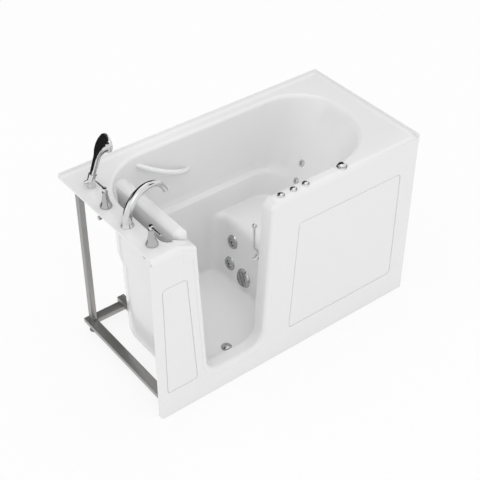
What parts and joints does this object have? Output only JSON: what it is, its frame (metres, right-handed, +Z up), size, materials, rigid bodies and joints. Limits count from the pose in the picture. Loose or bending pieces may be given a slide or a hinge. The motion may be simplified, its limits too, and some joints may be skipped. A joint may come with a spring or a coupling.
{
  "type": "walk-in jetted bathtub",
  "caption": "Walk-in jetted bathtub with an open inward door, moulded seat, deck taps and a steel base frame.",
  "frame": {"origin": "on the floor under the middle of the footprint", "axes": "+X along the length from the tap end to the backrest, +Y to the wall side, +Z up"},
  "size_m": [1.524, 0.762, 1.1863],
  "materials": {
    "gelcoat": "gloss white gelcoat",
    "frame_steel": "plain steel tube",
    "fitting_steel": "satin steel",
    "chrome": "polished chrome",
    "seal_rubber": "matt black",
    "pipe_plastic": "white pipe",
    "pump_paint": "dark enamel"
  },
  "bodies": {
    "tub": {"tub_shell": "gelcoat", "front_apron": "gelcoat", "access_panel_left": "gelcoat", "access_panel_right": "gelcoat", "door_frame": "gelcoat", "grab_bar": "gelcoat", "base_rail_left": "frame_steel", "base_rail_right": "frame_steel", "base_rail_front": "frame_steel", "base_rail_back": "frame_steel", "bearer_left": "frame_steel", "bearer_mid": "frame_steel", "bearer_seat": "frame_steel", "bearer_pump": "frame_steel", "post_front_left": "frame_steel", "post_back_left": "frame_steel", "post_front_right": "frame_steel", "post_back_right": "frame_steel", "seat_legs": "frame_steel", "foot_front_left": "fitting_steel", "foot_back_left": "fitting_steel", "foot_front_right": "fitting_steel", "foot_back_right": "fitting_steel", "hinge_brackets": "fitting_steel", "latch_post": "chrome", "hot_valve": "chrome", "cold_valve": "chrome", "spout": "chrome", "shower_holder": "chrome", "overflow_plate": "chrome", "drain_body": "chrome", "button_bezels": "chrome", "air_control_base": "chrome", "riser_jet_upper": "chrome", "riser_jet_lower": "chrome", "back_jets": "chrome", "suction_cover": "chrome", "suction_body": "pipe_plastic", "suction_pipe": "pipe_plastic", "jet_pipes": "pipe_plastic", "pump_volute": "pipe_plastic", "pump_motor": "pump_paint", "pump_foot": "pump_paint"},
    "door": {"door_leaf": "gelcoat", "door_seal": "seal_rubber", "hinge_pins": "fitting_steel"},
    "latch": {"latch_lever": "chrome"},
    "hot_handle": {"hot_lever": "chrome"},
    "cold_handle": {"cold_lever": "chrome"},
    "drain_control": {"drain_knob": "chrome"},
    "stopper": {"drain_stopper": "chrome"},
    "handset": {"hand_shower": "chrome"},
    "pump_button": {"button_pump": "chrome"},
    "air_button": {"button_air": "chrome"},
    "light_button": {"button_light": "chrome"},
    "air_control": {"air_knob": "chrome"},
    "nozzle_riser_upper": {"riser_nozzle_upper": "chrome"},
    "nozzle_riser_lower": {"riser_nozzle_lower": "chrome"},
    "nozzle_back_upper": {"back_nozzle_upper": "chrome"},
    "nozzle_back_lower": {"back_nozzle_lower": "chrome"}
  },
  "joints": [
    {"name": "door_hinge", "type": "hinge", "parent": "tub", "child": "door", "pos_m": [-0.552, -0.28, 0.5], "axis": [0, 0, 1], "range_deg": [-90, 0]},
    {"name": "latch_pivot", "type": "hinge", "parent": "tub", "child": "latch", "pos_m": [-0.086, -0.222, 0.532], "axis": [0, 1, 0], "range_deg": [-90, 0]},
    {"name": "hot_turn", "type": "hinge", "parent": "tub", "child": "hot_handle", "pos_m": [-0.696, -0.276, 1.03], "axis": [0, 0, 1], "range_deg": [0, 90]},
    {"name": "cold_turn", "type": "hinge", "parent": "tub", "child": "cold_handle", "pos_m": [-0.708, 0.06005, 1.03], "axis": [0, 0, 1], "range_deg": [-90, 0]},
    {"name": "drain_turn", "type": "hinge", "parent": "tub", "child": "drain_control", "pos_m": [-0.64822, 0.02402, 0.908], "axis": [0.999, 0, 0.0446], "range_deg": [0, 90]},
    {"name": "stopper_lift", "type": "slide", "parent": "tub", "child": "stopper", "axis": [0, 0, 1], "range_m": [0, 0.01]},
    {"name": "handset_lift", "type": "slide", "parent": "tub", "child": "handset", "axis": [0.3584, 0, 0.9336], "range_m": [0, 0.12]},
    {"name": "air_turn", "type": "hinge", "parent": "tub", "child": "air_control", "pos_m": [0.304, -0.338, 0.955], "axis": [0, 0, 1], "range_deg": [0, 180]},
    {"name": "pump_press", "type": "slide", "parent": "tub", "child": "pump_button", "axis": [0, 0, -1], "range_m": [0, 0.003], "stiffness_N_per_m": 500},
    {"name": "air_press", "type": "slide", "parent": "tub", "child": "air_button", "axis": [0, 0, -1], "range_m": [0, 0.003], "stiffness_N_per_m": 500},
    {"name": "light_press", "type": "slide", "parent": "tub", "child": "light_button", "axis": [0, 0, -1], "range_m": [0, 0.003], "stiffness_N_per_m": 500},
    {"name": "nozzle_riser_upper_turn", "type": "hinge", "parent": "tub", "child": "nozzle_riser_upper", "pos_m": [0.04201, 0.14, 0.322], "axis": [-0.9902, 0, 0.1395], "range_deg": [0, 120]},
    {"name": "nozzle_riser_lower_turn", "type": "hinge", "parent": "tub", "child": "nozzle_riser_lower", "pos_m": [0.02328, 0.14, 0.189], "axis": [-0.9902, 0, 0.1395], "range_deg": [0, 120]},
    {"name": "nozzle_back_upper_turn", "type": "hinge", "parent": "tub", "child": "nozzle_back_upper", "pos_m": [0.46026, 0.112, 0.647], "axis": [-0.8673, 0, 0.4977], "range_deg": [0, 120]},
    {"name": "nozzle_back_lower_turn", "type": "hinge", "parent": "tub", "child": "nozzle_back_lower", "pos_m": [0.41378, 0.097, 0.566], "axis": [-0.8673, 0, 0.4977], "range_deg": [0, 120]}
  ],
  "couplings": [
    {"joint": "stopper_lift", "follows": "drain_turn", "m_per_rad": 0.006366}
  ]
}
